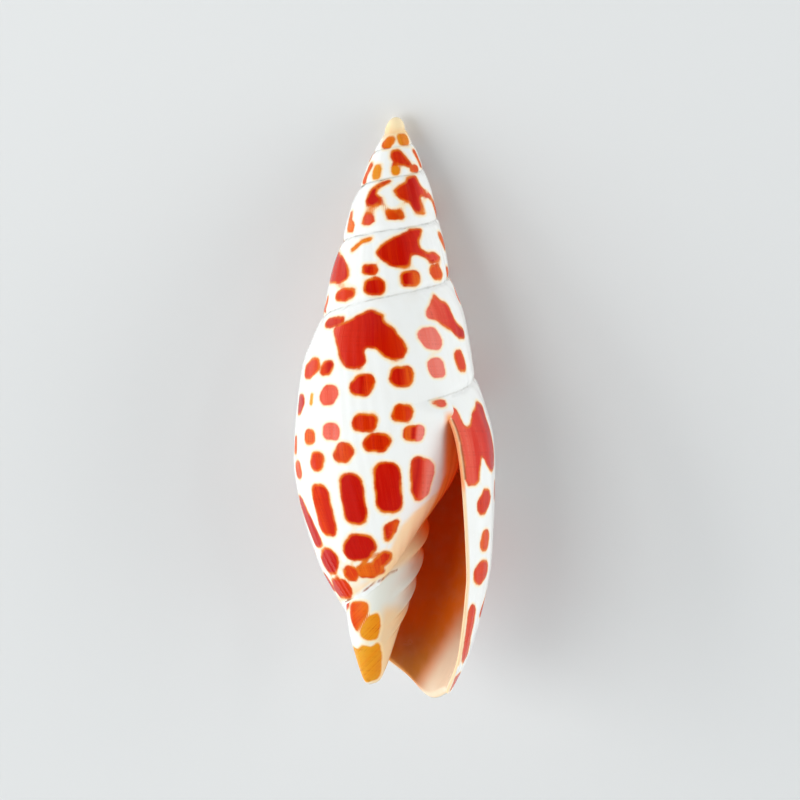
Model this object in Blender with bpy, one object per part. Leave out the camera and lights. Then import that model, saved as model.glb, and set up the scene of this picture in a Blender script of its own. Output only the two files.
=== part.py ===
"""Mitre shell: a right-handed coiled sea shell, one hollow solid grown in a single piece.

The shell lies on its back with the aperture up.  In its own frame the coil axis runs along +Y to
the apex, +X is the side of the outer lip and +Z faces out of the aperture.  A place on the shell is
given by its turn (whole turns back from the lip, so 0 is the lip and 5.4 the apex) and by its
landmark, which counts down the whorl from the suture (0) past the next suture (3) to the base (7).
"""
import math

import bmesh
import bpy
from mathutils import Vector

MM = 0.001
LENGTH = 110.2             # apex to the lowest point of the lip, mm
COLUMNS = 40               # columns of the mesh in one turn
APEX_TURN = 5.4            # turns from the lip to the first whorl
CAVITY_TURNS = 1.6         # how far up the coil the hollow runs
OUTER_ROWS = 11            # rows of the hollow along the outer wall
DEPTH = 0.93               # the section is a little flatter from front to back than it is wide
LIP_AZIMUTH = -42.0        # direction of turn 0 about the coil axis, degrees from +X
REST_ROLL = 10.0           # lying on its back: turned about the coil axis, degrees
REST_PITCH = -15.0         # then tipped until the spire's flank meets the floor, degrees

# The suture, every half turn from turn -0.883: distance from the apex and radius, mm.
FIRST_TURN = -0.883
SUTURE = ((81.0, 20.2), (63.0, 17.9), (49.2, 16.1), (38.5, 13.1), (30.1, 10.8), (24.0, 9.7),
          (19.0, 8.2), (13.6, 6.6), (9.7, 5.3), (6.8, 4.1), (4.8, 3.2), (3.4, 2.45), (2.3, 1.95),
          (1.4, 1.6), (0.8, 1.3))
SWELL = (0.080, 0.078, 0.074, 0.073, 0.046, 0.040, 0.032, 0.045, 0.044, 0.040, 0.035, 0.03, 0.03,
         0.03, 0.03)
# Below the next suture: lower flank, bend, base and end of the whorl, at the same half turns.
LOWER = (
    ((104.0, 18.9), (106.0, 17.5), (108.5, 15.0), (110.5, 12.4)),
    ((99.0, 19.3), (103.0, 17.3), (107.0, 14.9), (110.3, 12.5)),
    ((88.0, 19.5), (95.0, 18.0), (102.0, 15.9), (108.3, 12.9)),
    ((70.0, 17.3), (77.0, 15.5), (84.5, 12.0), (91.2, 7.1)),
    ((56.0, 16.0), (62.0, 15.0), (68.5, 12.0), (75.1, 6.8)),
    ((44.0, 13.5), (50.0, 12.6), (56.0, 9.6), (61.5, 5.6)),
    ((35.0, 11.3), (40.0, 10.4), (45.5, 7.8), (50.0, 4.8)),
    ((28.3, 9.9), (32.5, 9.0), (37.0, 6.6), (41.0, 4.0)),
    ((22.5, 8.2), (26.0, 7.4), (29.6, 5.4), (32.8, 3.2)),
)
# Growth line of the lip: how many turns it leads or trails turn 0 at each landmark.
LIP_TRAIL = (-0.057, -0.027, -0.018, 0.003, 0.010, 0.022, 0.042, 0.065)
# Columella: distance from the apex, sideways offset and radius, mm.
PILLAR = ((62.0, 0.0, 3.4), (69.0, 0.0, 5.4), (75.0, -0.2, 6.9), (80.0, -0.5, 7.3),
          (84.0, -0.8, 6.9), (88.0, -1.1, 6.4), (92.7, -1.6, 5.75), (97.6, -2.0, 4.7),
          (101.0, -2.05, 3.75), (104.2, -2.05, 2.75), (106.6, -2.1, 1.8), (107.5, -2.3, 1.1))
PILLAR_TIP = (107.9, -2.5)
PILLAR_REACH = PILLAR[-1][0] - PILLAR[0][0]
# Folds of the columella: distance from the apex on the +X side, height and half width, mm.
FOLDS = ((77.9, 1.25, 1.3), (84.2, 1.0, 1.0), (89.3, 0.75, 0.9), (93.2, 0.45, 0.8))
FOLD_PITCH = 42.0


def catmull(points, position):
    """Smooth curve through evenly counted points, taken at a fractional index."""
    last = len(points) - 1
    position = min(max(position, 0.0), last)
    index = min(max(int(math.floor(position)), 0), last - 1)
    t = position - index
    p0 = points[max(index - 1, 0)]
    p1 = points[index]
    p2 = points[index + 1]
    p3 = points[min(index + 2, last)]
    curve = []
    for a, b, c, d in zip(p0, p1, p2, p3):
        curve.append(0.5 * (2 * b + (c - a) * t + (2 * a - 5 * b + 4 * c - d) * t * t
                            + (3 * b - a - 3 * c + d) * t ** 3))
    return curve


def landmarks(turn):
    """The eight landmarks of the whorl section at one turn, as (distance from apex, radius)."""
    key = (turn - FIRST_TURN) / 0.5
    suture = catmull(SUTURE, key)
    if turn >= 0.617:
        following = catmull(SUTURE, key - 2)
    else:
        following = catmull(((95.0, 20.6),) + SUTURE[:3], (turn + 0.383) / 0.5)
    swell = catmull([(value,) for value in SWELL], key)[0] * (following[0] - suture[0])
    section = [suture]
    for share, part in ((0.15, 0.56), (0.42, 1.0)):
        section.append([suture[0] + (following[0] - suture[0]) * share,
                        suture[1] + (following[1] - suture[1]) * share + swell * part])
    section.append(following)
    spire = max(key - len(LOWER) + 1, 0.0) > 0.0
    for landmark in range(4):
        distance, radius = catmull([row[landmark] for row in LOWER], key)
        if spire:
            distance *= suture[0] / SUTURE[len(LOWER) - 1][0]
            radius *= suture[1] / SUTURE[len(LOWER) - 1][1]
        section.append([distance, radius])
    # the siphonal notch: the base reaches lowest on the side of the lip
    reach = 2.5 * math.exp(-((turn - 0.31) / 0.14) ** 2)
    reach += 2.9 * math.exp(-((turn - 0.225) / (0.07 if turn < 0.225 else 0.055)) ** 2)
    # and it drops towards the fasciole on the far side
    sag = 6.2 * math.exp(-((turn - 0.78) / 0.19) ** 2)
    section[7][0] += reach + sag
    section[6][0] += reach * 0.5 + sag * 0.45
    return section


def whorl_point(turn, landmark):
    """Point on the outside of the whorl: (distance from apex, radius)."""
    return catmull(landmarks(turn), landmark)


def inner_point(turn, landmark, thickness):
    """Point on the inside of the whorl, one wall thickness in from the outside."""
    above = whorl_point(turn, landmark - 0.05)
    below = whorl_point(turn, landmark + 0.05)
    along = Vector((below[0] - above[0], below[1] - above[1])).normalized()
    distance, radius = whorl_point(turn, landmark)
    return distance + along.y * thickness, radius - along.x * thickness


def place(turn, distance, radius, offset=0.0):
    """Shell point from its turn, its distance from the apex and its radius."""
    azimuth = math.radians(LIP_AZIMUTH + 360.0 * turn)
    return Vector((radius * math.cos(azimuth) + offset, LENGTH - distance,
                   -radius * math.sin(azimuth) * DEPTH)) * MM


def lip_trail(landmark):
    return catmull([(value,) for value in LIP_TRAIL], landmark)[0]


def column_turn(step, landmark):
    """Turn of one mesh column: columns follow the growth line of the lip near the aperture."""
    turn = step / COLUMNS
    if turn < 0.4:
        return turn + lip_trail(landmark) * (1 - max(turn, 0.0) / 0.4) ** 2
    if 0.7 < turn < 1.4:
        fade = 1 - (turn - 1) / 0.4 if turn > 1 else 1 - (1 - turn) / 0.3
        reach = landmark / 3 if landmark < 3 else max(0.0, 1 - (landmark - 3) / 4)
        return turn + LIP_TRAIL[0] * reach * fade ** 2
    return turn


def add_solid(name, bm):
    bmesh.ops.recalc_face_normals(bm, faces=bm.faces)
    for face in bm.faces:
        face.smooth = True
    mesh = bpy.data.meshes.new(name)
    bm.to_mesh(mesh)
    bm.free()
    item = bpy.data.objects.new(name, mesh)
    bpy.context.scene.collection.objects.link(item)
    return item


def spiral_body():
    """Outside of the shell as a solid: whorls from the apex to the lip, stepped at the aperture."""
    spire_rows = (0.0, 0.4, 1.0, 1.6, 2.3, 3.0)
    base_rows = (3.0, 3.5, 4.0, 4.5, 5.0, 5.5, 6.0, 6.5, 7.0)
    bm = bmesh.new()
    steps = int(APEX_TURN * COLUMNS)
    grid = {}
    for step in range(steps + 1):
        for row, landmark in enumerate(spire_rows[:-1]):
            turn = column_turn(step, landmark)
            grid[step, row] = bm.verts.new(place(turn, *whorl_point(turn, landmark)))
    last = len(spire_rows) - 1
    for step in range(COLUMNS, steps + 1):
        grid[step, last] = grid[step - COLUMNS, 0]
    for step in range(COLUMNS + 1):
        for row, landmark in enumerate(base_rows):
            if row == 0 and step == COLUMNS:
                continue
            turn = column_turn(step, landmark)
            grid[step, last + row] = bm.verts.new(place(turn, *whorl_point(turn, landmark)))
    for step in range(steps):
        rows = last + len(base_rows) - 1 if step < COLUMNS else last
        for row in range(rows):
            bm.faces.new((grid[step, row], grid[step, row + 1],
                          grid[step + 1, row + 1], grid[step + 1, row]))
    # apex cap
    rim = [grid[step, 0] for step in range(steps - COLUMNS, steps + 1)]
    rim += [grid[steps, row] for row in range(1, last)]
    summit = Vector((0.0, LENGTH * MM, 0.0))
    crown = [bm.verts.new(Vector((vert.co.x * 0.65, vert.co.y + (summit.y - vert.co.y) * 0.75,
                                  vert.co.z * 0.65))) for vert in rim]
    apex = bm.verts.new(summit)
    for index, vert in enumerate(rim):
        after = (index + 1) % len(rim)
        bm.faces.new((vert, rim[after], crown[after], crown[index]))
        bm.faces.new((crown[index], crown[after], apex))
    # base cap, and the step between the lip and the whorl before it
    end = last + len(base_rows) - 1
    centre = bm.verts.new(place(0, 98.0, 0.0))
    for step in range(COLUMNS):
        bm.faces.new((grid[step, end], centre, grid[step + 1, end]))
    lip = [grid[0, row] for row in range(end + 1)]
    parietal = [grid[COLUMNS, row] for row in range(last, end + 1)]
    rim = [lip[0]]
    for landmark in spire_rows[1:-1] + base_rows:
        turn = column_turn(0, landmark)
        distance, radius = whorl_point(turn, landmark)
        depth = min(2.2, 0.5 * gap_inside(turn, landmark, 0.0))
        rim.append(bm.verts.new(place(turn, distance, radius - depth)))
    bm.faces.new((lip[0], lip[1], rim[1]))
    for row in range(1, end):
        bm.faces.new((lip[row], lip[row + 1], rim[row + 1], rim[row]))
    join_chains(bm, rim, parietal)
    bm.faces.new((lip[-1], rim[-1], centre))
    bm.faces.new((rim[-1], parietal[-1], centre))
    return add_solid("shell", bm)


def join_chains(bm, left, right):
    """Triangles between two rows of vertices, which may begin at the same vertex."""
    i = j = 0
    if left[0] is right[0]:
        bm.faces.new((left[0], left[1], right[1]))
        i = j = 1
    while i < len(left) - 1 or j < len(right) - 1:
        if j == len(right) - 1 or (i < len(left) - 1 and i * len(right) <= j * len(left)):
            bm.faces.new((left[i], left[i + 1], right[j]))
            i += 1
        else:
            bm.faces.new((left[i], right[j + 1], right[j]))
            j += 1


def radius_before(turn, distance):
    """Radius of the whorl before this one at a distance from the apex."""
    section = landmarks(turn + 1)
    landmark = 3
    while landmark < 6 and section[landmark + 1][0] < distance:
        landmark += 1
    share = (distance - section[landmark][0]) / (section[landmark + 1][0] - section[landmark][0])
    return catmull(section, landmark + min(max(share, 0.0), 1.0))[1]


def gap_inside(turn, landmark, thickness):
    """Room between the wall and the whorl before it."""
    distance, radius = inner_point(turn, landmark, thickness)
    return radius - radius_before(turn, distance)


def wall_thickness(turn):
    """Thin at the lip, full a quarter turn in, finer again up the spire."""
    near_lip = 1.0 + 0.5 * min(max(turn, 0.0) / 0.25, 1.0)
    return near_lip * (1.0 - 0.22 * max(turn - 0.3, 0.0))


def cavity_ring(bm, step):
    """One ring of the hollow: outer wall, canal, pillar side, then the whorl before."""
    turn = step / COLUMNS
    thickness = wall_thickness(turn)
    start = 0.2
    while gap_inside(turn, start, thickness) < 0.5:
        start += 0.05
    closed = min(max((turn - 0.36) / 0.08, 0.0), 1.0)
    finish = 7.0 - 0.75 * closed
    ring = []
    for row in range(OUTER_ROWS):
        landmark = start + (finish - start) * row / (OUTER_ROWS - 1)
        here = column_turn(step, landmark)
        point = inner_point(here, landmark, thickness)
        ring.append(bm.verts.new(place(here, *point)))
    # the canal runs out of the base near the lip and is closed by the pillar further in
    distance, radius = point
    floor = distance - 0.6
    for opened, shut in (((114.0, radius - 0.8), (floor, radius - 1.0)),
                         ((114.0, 0.35), (floor - 0.5, 3.0)),
                         ((104.0, 0.35), (floor - 2.0, 2.8))):
        point = [a + (b - a) * closed for a, b in zip(opened, shut)]
        ring.append(bm.verts.new(place(here, *point)))
    under = whorl_point(turn + 1, 7.0)[0]
    ring.append(bm.verts.new(place(turn, 0.5 * (floor - 2.0 + under), 3.2)))
    lift = 0.02 + 4.0 * max(0.0, -turn)
    suture, lower = landmarks(turn + 1)[3:5]
    begin = 3.0 + (whorl_point(turn, start)[0] - suture[0]) / (lower[0] - suture[0])
    for landmark in (7.0, 6.5, 6.0, 5.5, 5.0, 4.5, 4.0, begin):
        here = column_turn(step + COLUMNS, landmark)
        distance, radius = whorl_point(here, landmark)
        ring.append(bm.verts.new(place(here, distance, radius + lift)))
    return ring


def cavity():
    """The hollow of the last whorls, open at the aperture and along the canal."""
    bm = bmesh.new()
    last = int(round(CAVITY_TURNS * COLUMNS))
    rings = [cavity_ring(bm, step) for step in range(-4, last + 1)]
    for ring, following in zip(rings, rings[1:]):
        for index, vert in enumerate(ring):
            after = (index + 1) % len(ring)
            bm.faces.new((vert, ring[after], following[after], following[index]))
    for ring in (rings[0], rings[-1]):
        join_chains(bm, ring[:OUTER_ROWS + 2], ring[:OUTER_ROWS + 1:-1])
    return add_solid("cavity", bm)


def pillar_point(row):
    """Distance from the apex, sideways offset and radius of the pillar, a row of mm from its top."""
    distance = PILLAR[0][0] + min(max(row, 0.0), PILLAR_REACH)
    index = 0
    while index < len(PILLAR) - 2 and PILLAR[index + 1][0] < distance:
        index += 1
    share = (distance - PILLAR[index][0]) / (PILLAR[index + 1][0] - PILLAR[index][0])
    return catmull(PILLAR, index + share)


def fold_height(distance, azimuth):
    """Height of the columella folds: they wind down the pillar away from the +X side."""
    height = 0.0
    for start, rise, width in FOLDS:
        ridge = start - FOLD_PITCH * azimuth / 360.0
        height += rise * math.exp(-abs((distance - ridge) / width) ** 1.5)
    fade = min(max((azimuth + 68.0) / 38.0, 0.0), 1.0) * min(max((170.0 - azimuth) / 40.0, 0.0), 1.0)
    return height * fade


def pillar():
    """Columella and fasciole: a tapering pillar with winding folds on the aperture side."""
    bm = bmesh.new()
    levels = 34
    rings = []
    for level in range(levels + 1):
        share = level / levels
        slant = math.sin(math.pi * share) ** 0.5
        ring = []
        for step in range(COLUMNS):
            turn = step / COLUMNS
            azimuth = LIP_AZIMUTH + 360.0 * turn
            if azimuth > 260.0:
                azimuth -= 360.0
            # rows of the mesh run along the folds, and come back up behind them
            lead = azimuth if azimuth < 120.0 else 120.0 - (azimuth - 120.0) * 1.5
            row = share * PILLAR_REACH - FOLD_PITCH * lead / 360.0 * slant
            distance, offset, radius = pillar_point(row)
            ring.append(bm.verts.new(place(turn, distance, radius + fold_height(distance, azimuth),
                                           offset)))
        rings.append(ring)
    for ring, following in zip(rings, rings[1:]):
        for index, vert in enumerate(ring):
            after = (index + 1) % COLUMNS
            bm.faces.new((vert, ring[after], following[after], following[index]))
    tip = bm.verts.new(place(0, PILLAR_TIP[0], 0.0, PILLAR_TIP[1]))
    top = bm.verts.new(place(0, PILLAR[0][0], 0.0))
    for index in range(COLUMNS):
        after = (index + 1) % COLUMNS
        bm.faces.new((rings[-1][index], rings[-1][after], tip))
        bm.faces.new((rings[0][index], rings[0][after], top))
    return add_solid("pillar", bm)


def boolean(target, cutter, operation):
    cutter.hide_render = True
    cutter.display_type = "WIRE"
    modifier = target.modifiers.new(cutter.name, "BOOLEAN")
    modifier.operation = operation
    modifier.solver = "EXACT"
    modifier.object = cutter


def shell_material():
    material = bpy.data.materials.new("shell")
    material.use_nodes = True
    surface = material.node_tree.nodes["Principled BSDF"]
    surface.inputs["Base Color"].default_value = (0.85, 0.80, 0.74, 1.0)
    surface.inputs["Roughness"].default_value = 0.25
    return material


for item in list(bpy.data.objects):
    bpy.data.objects.remove(item, do_unlink=True)

shell = spiral_body()
boolean(shell, cavity(), "DIFFERENCE")
boolean(shell, pillar(), "UNION")
shell.data.materials.append(shell_material())
for item in bpy.data.objects:
    item.rotation_mode = "YXZ"
    item.rotation_euler = (math.radians(REST_PITCH), math.radians(REST_ROLL), 0.0)

# the origin is the middle of the footprint, on the surface the shell lies on
bpy.context.view_layer.update()
finished = shell.evaluated_get(bpy.context.evaluated_depsgraph_get())
corners = [finished.matrix_world @ vert.co for vert in finished.data.vertices]
low = [min(corner[axis] for corner in corners) for axis in range(3)]
high = [max(corner[axis] for corner in corners) for axis in range(3)]
for item in bpy.data.objects:
    item.location = (-(low[0] + high[0]) / 2, -(low[1] + high[1]) / 2, -low[2])
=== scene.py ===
"""Mitre shell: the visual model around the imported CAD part.

A place on the shell is given by its turn (whole turns back from the lip, 0 at the lip) and its
landmark, which counts down the whorl from the suture (0) past the next suture (3) to the base (7).
The model frame is in mm: the coil axis is y, the aperture faces +z and the lip is on the +x side.
"""
import math

import bmesh
import bpy
import numpy as np
from mathutils import Matrix, Vector


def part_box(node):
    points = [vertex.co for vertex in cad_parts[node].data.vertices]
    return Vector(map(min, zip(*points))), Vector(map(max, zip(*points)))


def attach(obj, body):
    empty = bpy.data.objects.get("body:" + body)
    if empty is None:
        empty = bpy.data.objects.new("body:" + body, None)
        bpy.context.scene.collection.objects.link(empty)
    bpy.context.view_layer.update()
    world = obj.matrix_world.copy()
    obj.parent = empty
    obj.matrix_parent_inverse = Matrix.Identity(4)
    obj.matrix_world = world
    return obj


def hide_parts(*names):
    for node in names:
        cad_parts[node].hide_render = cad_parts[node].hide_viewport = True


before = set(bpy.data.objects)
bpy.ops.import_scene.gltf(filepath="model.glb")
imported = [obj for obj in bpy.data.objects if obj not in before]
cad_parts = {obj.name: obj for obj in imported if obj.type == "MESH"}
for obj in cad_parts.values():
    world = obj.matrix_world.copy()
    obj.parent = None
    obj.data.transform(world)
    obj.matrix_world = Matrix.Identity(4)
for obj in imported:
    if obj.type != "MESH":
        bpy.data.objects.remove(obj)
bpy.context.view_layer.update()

MM = 0.001
LENGTH = 110.2             # apex to the lowest point of the lip
DEPTH = 0.93               # the section is a little flatter from front to back than it is wide
LIP_AZIMUTH = -42.0        # direction of turn 0 about the coil axis, degrees from +x
REST_ROLL = 10.0           # lying on its back: turned about the coil axis, then tipped, degrees
REST_PITCH = -15.0
APEX_TURN = 5.4
HOLLOW_TURNS = 1.6         # how far the inside of the shell is modelled
LIP_WALL = 0.68            # wall thickness at the lip, and a fifth of a turn in
FULL_WALL = 1.5
EDGE_RADIUS = 0.55         # rounding of the lip and of the notch
WEB_TURN = 0.36            # where the base closes behind the canal
WEB_SPAN = 0.08

# The suture, every half turn from turn -0.883: distance from the apex and radius.
FIRST_TURN = -0.883
SUTURE = ((81.0, 20.2), (63.0, 17.9), (49.2, 16.1), (38.5, 13.1), (30.1, 10.8), (24.0, 9.7),
          (19.0, 8.2), (13.6, 6.6), (9.7, 5.3), (6.8, 4.1), (4.8, 3.1), (3.4, 2.3), (2.3, 1.75),
          (1.4, 1.35), (0.8, 1.05))
SWELL = (0.080, 0.078, 0.074, 0.073, 0.046, 0.040, 0.032, 0.045, 0.044, 0.040, 0.035, 0.03, 0.03,
         0.03, 0.03)
# Below the next suture: lower flank, bend, base and end of the whorl, at the same half turns.
LOWER = (
    ((104.0, 18.9), (106.0, 17.5), (108.5, 15.0), (110.5, 12.4)),
    ((99.0, 19.3), (103.0, 17.3), (107.0, 14.9), (110.3, 12.5)),
    ((88.0, 19.5), (95.0, 18.0), (102.0, 15.9), (108.3, 12.9)),
    ((70.0, 17.3), (77.0, 15.5), (84.5, 12.0), (91.2, 7.1)),
    ((56.0, 16.0), (62.0, 15.0), (68.5, 12.0), (75.1, 6.8)),
    ((44.0, 13.5), (50.0, 12.6), (56.0, 9.6), (61.5, 5.6)),
    ((35.0, 11.3), (40.0, 10.4), (45.5, 7.8), (50.0, 4.8)),
    ((28.3, 9.9), (32.5, 9.0), (37.0, 6.6), (41.0, 4.0)),
    ((22.5, 8.2), (26.0, 7.4), (29.6, 5.4), (32.8, 3.2)),
)
# Growth line of the lip: how many turns it leads or trails turn 0 at each landmark.
LIP_TRAIL = (-0.057, -0.027, -0.018, 0.003, 0.010, 0.022, 0.042, 0.065)
# Columella: distance from the apex, sideways offset and radius.
PILLAR = ((62.0, 0.0, 3.4), (69.0, 0.0, 5.4), (75.0, -0.2, 6.9), (80.0, -0.5, 7.3),
          (84.0, -0.8, 6.9), (88.0, -1.1, 6.4), (92.7, -1.6, 5.75), (97.6, -2.0, 4.7),
          (101.0, -2.05, 3.75), (104.2, -2.05, 2.75), (106.6, -2.1, 1.8), (107.5, -2.3, 1.1))
PILLAR_TIP = (107.9, -2.5)
# Folds of the columella: distance from the apex on the +x side, height and half width.
FOLDS = ((77.9, 1.25, 1.3), (84.2, 1.0, 1.0), (89.3, 0.75, 0.9), (93.2, 0.45, 0.8))
FOLD_PITCH = 42.0
KNOB = (0.962, 56.2, 2.0)   # callus at the top of the aperture: turn, distance from the apex, height
FRONT_DEGREES = 90.0 + LIP_AZIMUTH   # turn 0, in degrees round the shell from the middle of its front
RIM_RADIUS = 16.0          # mean radius of the lip's edge, for the rounding of the edge
LIP_RADIUS = 17.0          # mean radius of the outside near the lip, for its markings
RIDGE_SLOPE = 0.65         # lines of the fasciole: mm towards the base for each mm towards -x
FAR = 9.0                  # a distance in mm beyond the reach of every groove and line

# Mesh rows as landmarks: close together at the sutures, and at the edge of the notch.
SPIRE_ROWS = 3.0 * (np.arange(65) / 64 - 0.8 * np.sin(2 * math.pi * np.arange(65) / 64) / (2 * math.pi))
BASE_ROWS = np.concatenate((np.linspace(3.0, 6.8, 51)[1:], (6.86, 6.91, 6.95, 6.98, 6.995, 7.0)))
ROWS = np.concatenate((SPIRE_ROWS, BASE_ROWS))
INNER_PICKS = np.concatenate((np.arange(0, 112, 4), np.arange(112, 121)))
EDGE_COLUMNS = (0.0, 0.0002, 0.0004, 0.0008, 0.0016, 0.0028)
# Parts of the coil: first turn, columns in one turn, and which rows they use (every, every 2nd, ...).
COIL_PARTS = ((0.0, 280, 1), (1.1, 200, 2), (2.1, 130, 4))


def smooth(low, high, value):
    share = np.clip((np.asarray(value, float) - low) / (high - low), 0.0, 1.0)
    return share * share * (3.0 - 2.0 * share)


def spline(a, b, c, d, t):
    return 0.5 * (2 * b + (c - a) * t + (2 * a - 5 * b + 4 * c - d) * t * t
                  + (3 * b - a - 3 * c + d) * t ** 3)


def catmull(table, position):
    """Smooth curve through evenly counted rows of a table, taken at fractional indices."""
    table = np.asarray(table, float)
    last = len(table) - 1
    position = np.clip(position, 0.0, last)
    index = np.minimum(position.astype(int), last - 1)
    t = (position - index).reshape(position.shape + (1,) * (table.ndim - 1))
    return spline(*(table[np.clip(index + k, 0, last)] for k in (-1, 0, 1, 2)), t)


def along(section, landmark):
    """Points of whorl sections, each at its own fractional landmark."""
    landmark = np.clip(landmark, 0.0, 7.0)
    index = np.minimum(landmark.astype(int), 6)
    t = (landmark - index)[..., None]
    picks = []
    for k in (-1, 0, 1, 2):
        pick = np.clip(index + k, 0, 7)[..., None, None]
        picks.append(np.take_along_axis(section, pick, axis=-2)[..., 0, :])
    return spline(*picks, t)


def landmarks(turn):
    """The eight landmarks of the whorl section at each turn, as (distance from apex, radius)."""
    key = (turn - FIRST_TURN) / 0.5
    suture = catmull(SUTURE, key)
    early = catmull(((95.0, 20.6),) + SUTURE[:3], (turn + 0.383) / 0.5)
    following = np.where((turn >= 0.617)[..., None], catmull(SUTURE, key - 2), early)
    swell = catmull([(value,) for value in SWELL], key)[..., 0] * (following - suture)[..., 0]
    lower = catmull(LOWER, key)
    beyond = key > len(LOWER) - 1
    ratio = np.where(beyond[..., None], suture / SUTURE[len(LOWER) - 1], 1.0)
    lower = lower * ratio[..., None, :]
    section = [suture]
    for share, part in ((0.15, 0.56), (0.42, 1.0)):
        point = suture + (following - suture) * share
        point[..., 1] += swell * part
        section.append(point)
    section.append(following)
    section = np.concatenate((np.stack(section, axis=-2), lower), axis=-2)
    # the siphonal notch: the base reaches lowest on the side of the lip
    reach = 2.5 * np.exp(-((turn - 0.31) / 0.14) ** 2)
    reach = reach + 2.9 * np.exp(-((turn - 0.225) / np.where(turn < 0.225, 0.07, 0.055)) ** 2)
    # and it drops towards the fasciole on the far side
    sag = 6.2 * np.exp(-((turn - 0.78) / 0.19) ** 2)
    section[..., 7, 0] += reach + sag
    section[..., 6, 0] += reach * 0.5 + sag * 0.45
    section[..., 7, 1] -= sag * 0.12
    return section


def whorl_point(turn, landmark):
    return along(landmarks(turn), landmark)


def place(turn, distance, radius, offset=0.0):
    """Model frame point from turn, distance from the apex and radius."""
    azimuth = np.radians(LIP_AZIMUTH + 360.0 * turn)
    return np.stack(np.broadcast_arrays(radius * np.cos(azimuth) + offset, LENGTH - distance,
                                        -radius * np.sin(azimuth) * DEPTH), axis=-1)


def lip_trail(landmark):
    return catmull([(value,) for value in LIP_TRAIL], landmark)[..., 0]


def growth_turn(turn, landmark):
    """Columns of the mesh follow the growth line of the lip near the aperture."""
    near = lip_trail(landmark) * (1 - np.clip(turn / 0.4, 0.0, 1.0)) ** 2
    fade = np.clip(1 - np.where(turn > 1, (turn - 1) / 0.4, (1 - turn) / 0.3), 0.0, 1.0)
    reach = np.where(landmark < 3, landmark / 3, np.clip(1 - (landmark - 3) / 4, 0.0, 1.0))
    return turn + near + LIP_TRAIL[0] * reach * fade ** 2


class Builder:
    """Gathers grids of vertices, their named values and the faces between them."""

    def __init__(self):
        self.points = []
        self.values = {}
        self.faces = []
        self.count = 0

    def add(self, points, **values):
        """New vertices for an array of points; gives their numbers in the same layout."""
        shape = points.shape[:-1]
        number = int(np.prod(shape))
        self.points.append(points.reshape(-1, 3))
        for name, value in values.items():
            flat = np.broadcast_to(value, shape).reshape(-1)
            self.values.setdefault(name, []).append((self.count, flat))
        self.count += number
        return np.arange(self.count - number, self.count).reshape(shape)

    def grid(self, numbers, wanted=None):
        """Four-sided faces between neighbours of a grid, where wanted."""
        quads = np.stack((numbers[:-1, :-1], numbers[1:, :-1], numbers[1:, 1:],
                          numbers[:-1, 1:]), axis=-1)
        if wanted is not None:
            quads = quads[wanted]
        self.faces.append(quads.reshape(-1, 4))

    def step_down(self, fine, coarse, picks):
        """Faces between a column of close rows and a column of just the picked rows."""
        sides = zip(picks[:-1], picks[1:], coarse[:-1], coarse[1:])
        self.faces.append([[*fine[first:last + 1], below, above] for first, last, above, below in sides])

    def fan(self, ring, tip, flip=False):
        pairs = np.stack((ring[:-1], ring[1:]), axis=-1)
        if flip:
            pairs = pairs[:, ::-1]
        tips = np.full((len(pairs), 1), tip)
        self.faces.append(np.concatenate((pairs, tips), axis=1))


def part_columns(part):
    """Turns of the mesh columns in one part of the coil."""
    first, count = COIL_PARTS[part][:2]
    end = COIL_PARTS[part + 1][0] if part + 1 < len(COIL_PARTS) else APEX_TURN
    number = round((end - first) * count)
    turns = first + (end - first) * np.arange(1, number + 1) / number
    return turns if part else np.concatenate((EDGE_COLUMNS, turns))


def suture_wander(turn):
    """How far the suture strays up and down, mm."""
    return (0.10 * np.sin(43.0 * turn + 1.0) + 0.07 * np.sin(97.0 * turn)
            + 0.05 * np.sin(171.0 * turn + 2.0))


def outer_point(turn, landmark):
    """Outside of the whorl with its suture groove and its low growth ridges."""
    section = landmarks(turn)
    point = along(section, landmark)
    distance, radius = point[..., 0], point[..., 1]
    height = section[..., 3, 0] - section[..., 0, 0]
    scale = np.clip(height / 12.0, 0.35, 1.0)
    above = distance - section[..., 0, 0]
    below = np.where(landmark > 3.0, FAR, section[..., 3, 0] - distance)
    exposed = smooth(0.97, 1.0, turn)        # where another whorl follows below
    groove = (0.30 * np.exp(-(above / 0.45) ** 2)
              + 0.30 * np.exp(-(below / 0.75) ** 2) * exposed) * scale
    shift = (suture_wander(turn) * np.exp(-(above / 1.2) ** 2)
             + suture_wander(turn - 1) * np.exp(-(below / 1.2) ** 2) * exposed) * scale
    line = turn - lip_trail(landmark)
    ridges = (0.035 * np.sin(240.0 * line + 3 * np.sin(31.0 * line))
              + 0.05 * np.sin(88.0 * line + 2 * np.sin(17.0 * line + 1.0)))
    ridges = ridges * scale * smooth(0.0, 1.5, above) * smooth(0.0, 0.02, turn)
    knob = KNOB[2] * np.exp(-((turn - KNOB[0]) / 0.034) ** 2 - ((distance - KNOB[1]) / 2.3) ** 2)
    knob = knob * (landmark > 3.0)
    return np.stack((distance + shift, radius - groove + ridges + knob), axis=-1)


def section_slope(turn, landmark):
    """Unit direction down the section."""
    step = whorl_point(turn, landmark + 0.04) - whorl_point(turn, landmark - 0.04)
    return step / np.linalg.norm(step, axis=-1, keepdims=True)


def inside_share(turn):
    """0 where the canal is open at the base, 1 where the web closes it."""
    return smooth(WEB_TURN, WEB_TURN + WEB_SPAN, turn)


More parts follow.
